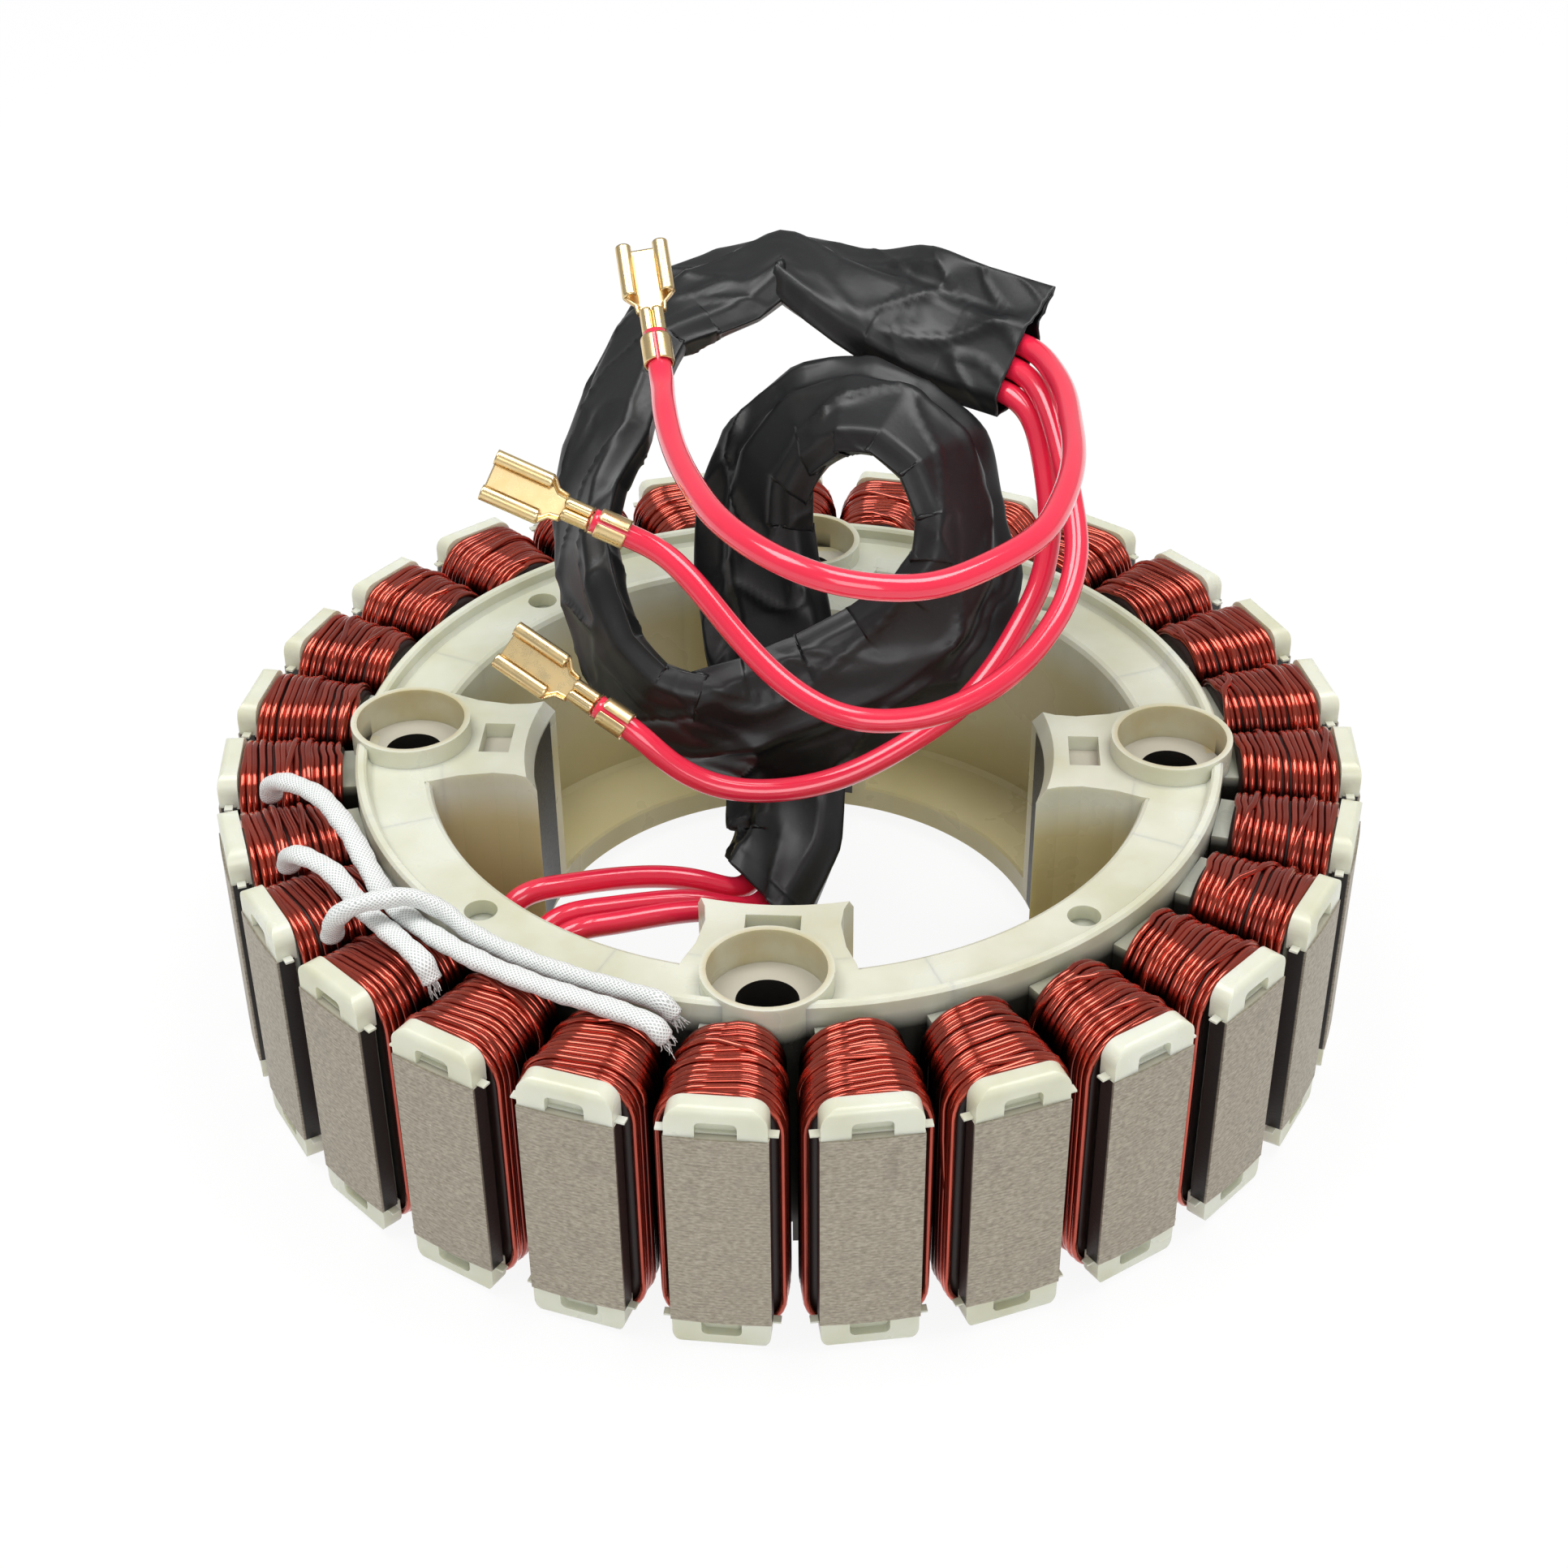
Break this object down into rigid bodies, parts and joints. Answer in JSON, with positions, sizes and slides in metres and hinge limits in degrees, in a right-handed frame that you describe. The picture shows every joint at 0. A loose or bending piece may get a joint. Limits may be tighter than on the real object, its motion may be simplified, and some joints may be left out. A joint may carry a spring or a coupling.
{
  "type": "wound stator",
  "caption": "Ring stator of an outer-rotor generator: steel pole core in a moulded insulator, enamelled coils on the poles, bolt lugs inside and sleeved leads with push-on terminals.",
  "frame": {"origin": "on the stator's axis, at the plane that it stands on", "axes": "+Z along the axis, towards the side with the raised collars; +X through the middle of one bolt lug and of one pole"},
  "size_m": [0.1679, 0.168, 0.1085],
  "materials": {
    "core_steel": "ground lamination edges, lightly oiled",
    "moulded_nylon": "satin natural moulding",
    "enamelled_copper": "clear red-brown enamel on copper wire",
    "sleeve_vinyl": "satin thin film",
    "lead_vinyl": "glossy",
    "terminal_brass": "bright stamped",
    "glass_braid": "braided glass yarn"
  },
  "bodies": {
    "root": {"lamination_core": "core_steel", "insulator_ring_1": "moulded_nylon", "insulator_ring_2": "moulded_nylon", "insulator_ring_3": "moulded_nylon", "insulator_ring_4": "moulded_nylon", "insulator_ring_5": "moulded_nylon", "insulator_ring_6": "moulded_nylon", "insulator_ring_7": "moulded_nylon", "insulator_ring_8": "moulded_nylon", "lug_covers": "moulded_nylon", "lug_collars": "moulded_nylon", "pole_bobbins": "moulded_nylon", "coil_01": "enamelled_copper", "coil_02": "enamelled_copper", "coil_03": "enamelled_copper", "coil_04": "enamelled_copper", "coil_05": "enamelled_copper", "coil_06": "enamelled_copper", "coil_07": "enamelled_copper", "coil_08": "enamelled_copper", "coil_09": "enamelled_copper", "coil_10": "enamelled_copper", "coil_11": "enamelled_copper", "coil_12": "enamelled_copper", "coil_13": "enamelled_copper", "coil_14": "enamelled_copper", "coil_15": "enamelled_copper", "coil_16": "enamelled_copper", "coil_17": "enamelled_copper", "coil_18": "enamelled_copper", "coil_19": "enamelled_copper", "coil_20": "enamelled_copper", "coil_21": "enamelled_copper", "coil_22": "enamelled_copper", "coil_23": "enamelled_copper", "coil_24": "enamelled_copper", "coil_25": "enamelled_copper", "coil_26": "enamelled_copper", "coil_27": "enamelled_copper", "harness_sleeve": "sleeve_vinyl", "lead_1": "lead_vinyl", "lead_2": "lead_vinyl", "lead_3": "lead_vinyl", "terminal_1": "terminal_brass", "terminal_2": "terminal_brass", "terminal_3": "terminal_brass", "sleeving_1": "glass_braid", "sleeving_2": "glass_braid", "sleeving_3": "glass_braid"}
  },
  "joints": []
}
